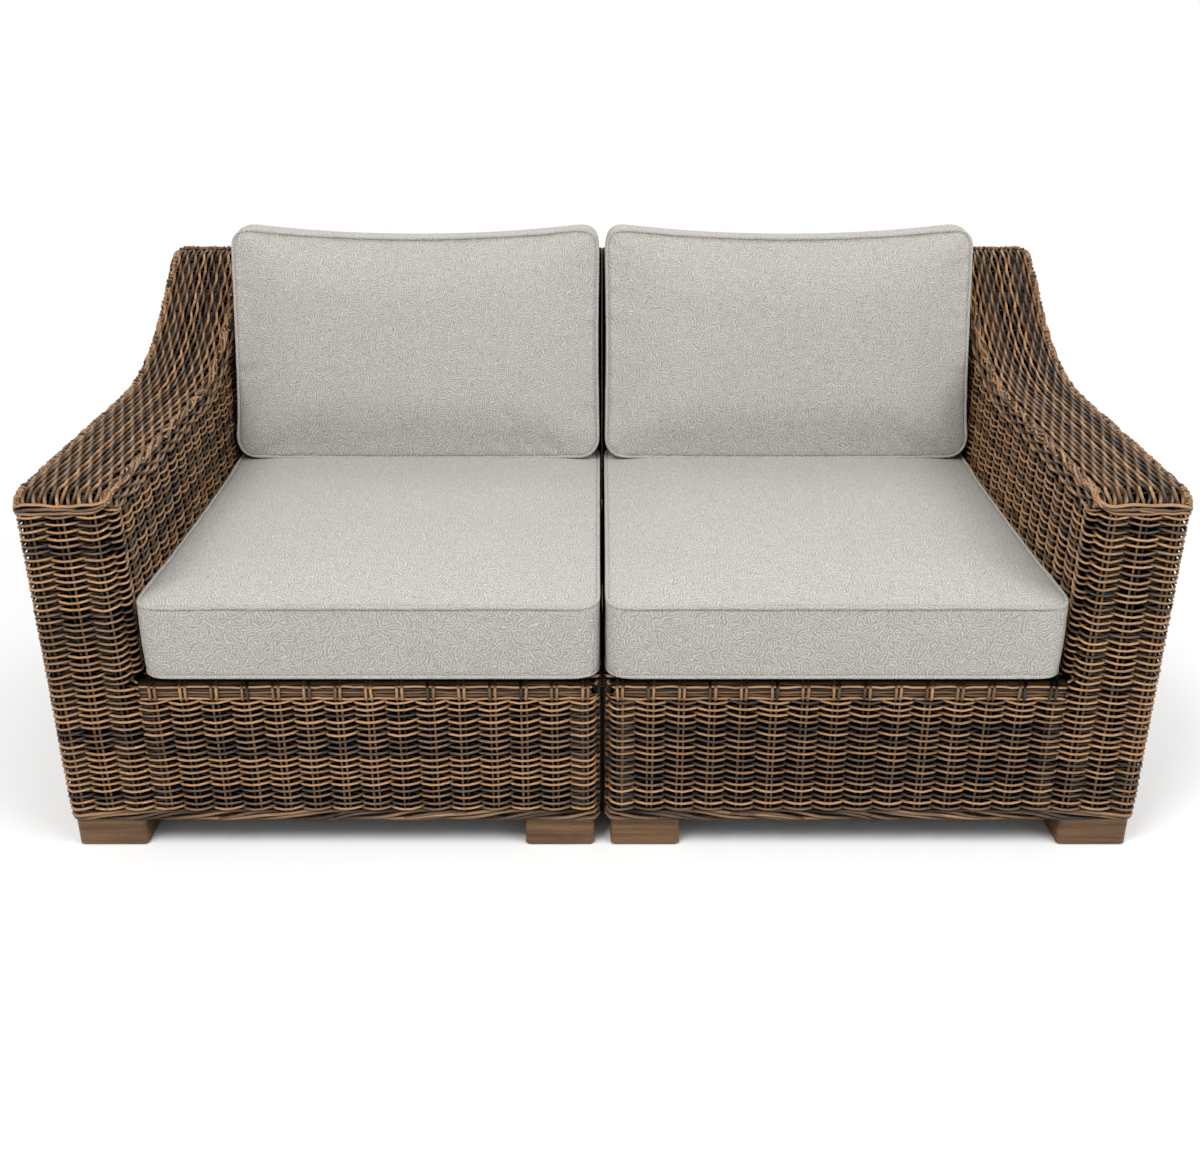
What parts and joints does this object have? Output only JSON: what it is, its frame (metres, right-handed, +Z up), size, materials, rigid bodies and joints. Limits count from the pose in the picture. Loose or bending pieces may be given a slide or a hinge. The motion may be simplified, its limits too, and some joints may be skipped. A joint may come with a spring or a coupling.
{
  "type": "patio loveseat",
  "caption": "Woven outdoor loveseat in two joined sections, with sloping arms, block feet, and loose welted seat and back cushions.",
  "frame": {"origin": "on the floor, at the centre of the loveseat's footprint", "axes": "+Z up, -Y to the front where people sit down, +X to the right as seen from the front"},
  "size_m": [1.724, 0.9869, 0.8524],
  "materials": {
    "frame_tube": "matte",
    "wicker": "satin",
    "foot_wood": "satin",
    "screw_steel": "satin",
    "black_plastic": "matte",
    "cushion_cloth": "matte",
    "foam": "matte"
  },
  "bodies": {
    "frame": {"base_frame_left": "frame_tube", "seat_frame_left": "frame_tube", "arm_frame_left": "frame_tube", "border_plait_left": "wicker", "apron_panel_left": "wicker", "deck_rail_wrap_left": "wicker", "arm_front_panel_left": "wicker", "arm_top_panel_left": "wicker", "arm_outer_panel_left": "wicker", "arm_inner_panel_left": "wicker", "crest_panel_left": "wicker", "back_panel_left": "wicker", "back_rest_panel_left": "wicker", "seat_deck_left": "wicker", "lower_end_panel_left": "wicker", "upper_end_panel_left": "wicker", "foot_front_inner_left": "foot_wood", "foot_front_outer_left": "foot_wood", "foot_rear_inner_left": "foot_wood", "foot_rear_outer_left": "foot_wood", "foot_screws_left": "screw_steel", "foot_glides_left": "black_plastic", "base_frame_right": "frame_tube", "seat_frame_right": "frame_tube", "arm_frame_right": "frame_tube", "border_plait_right": "wicker", "apron_panel_right": "wicker", "deck_rail_wrap_right": "wicker", "arm_front_panel_right": "wicker", "arm_top_panel_right": "wicker", "arm_outer_panel_right": "wicker", "arm_inner_panel_right": "wicker", "crest_panel_right": "wicker", "back_panel_right": "wicker", "back_rest_panel_right": "wicker", "seat_deck_right": "wicker", "lower_end_panel_right": "wicker", "upper_end_panel_right": "wicker", "foot_front_inner_right": "foot_wood", "foot_front_outer_right": "foot_wood", "foot_rear_inner_right": "foot_wood", "foot_rear_outer_right": "foot_wood", "foot_screws_right": "screw_steel", "foot_glides_right": "black_plastic", "joint_clips": "black_plastic"},
    "seat_cushion_left": {"seat_cushion_cover_left": "cushion_cloth", "seat_cushion_core_left": "foam", "seat_cushion_welts_left": "cushion_cloth"},
    "back_cushion_left": {"back_cushion_cover_left": "cushion_cloth", "back_cushion_core_left": "foam", "back_cushion_welts_left": "cushion_cloth"},
    "seat_cushion_right": {"seat_cushion_cover_right": "cushion_cloth", "seat_cushion_core_right": "foam", "seat_cushion_welts_right": "cushion_cloth"},
    "back_cushion_right": {"back_cushion_cover_right": "cushion_cloth", "back_cushion_core_right": "foam", "back_cushion_welts_right": "cushion_cloth"}
  },
  "joints": [
    {"name": "seat_cushion_left_slide", "type": "slide", "parent": "frame", "child": "seat_cushion_left", "axis": [0, -1, 0], "range_m": [0, 0.38]},
    {"name": "back_cushion_left_lift", "type": "slide", "parent": "frame", "child": "back_cushion_left", "axis": [0, 0.2419, 0.9703], "range_m": [0, 0.35]},
    {"name": "seat_cushion_right_slide", "type": "slide", "parent": "frame", "child": "seat_cushion_right", "axis": [0, -1, 0], "range_m": [0, 0.38]},
    {"name": "back_cushion_right_lift", "type": "slide", "parent": "frame", "child": "back_cushion_right", "axis": [0, 0.2419, 0.9703], "range_m": [0, 0.35]}
  ]
}
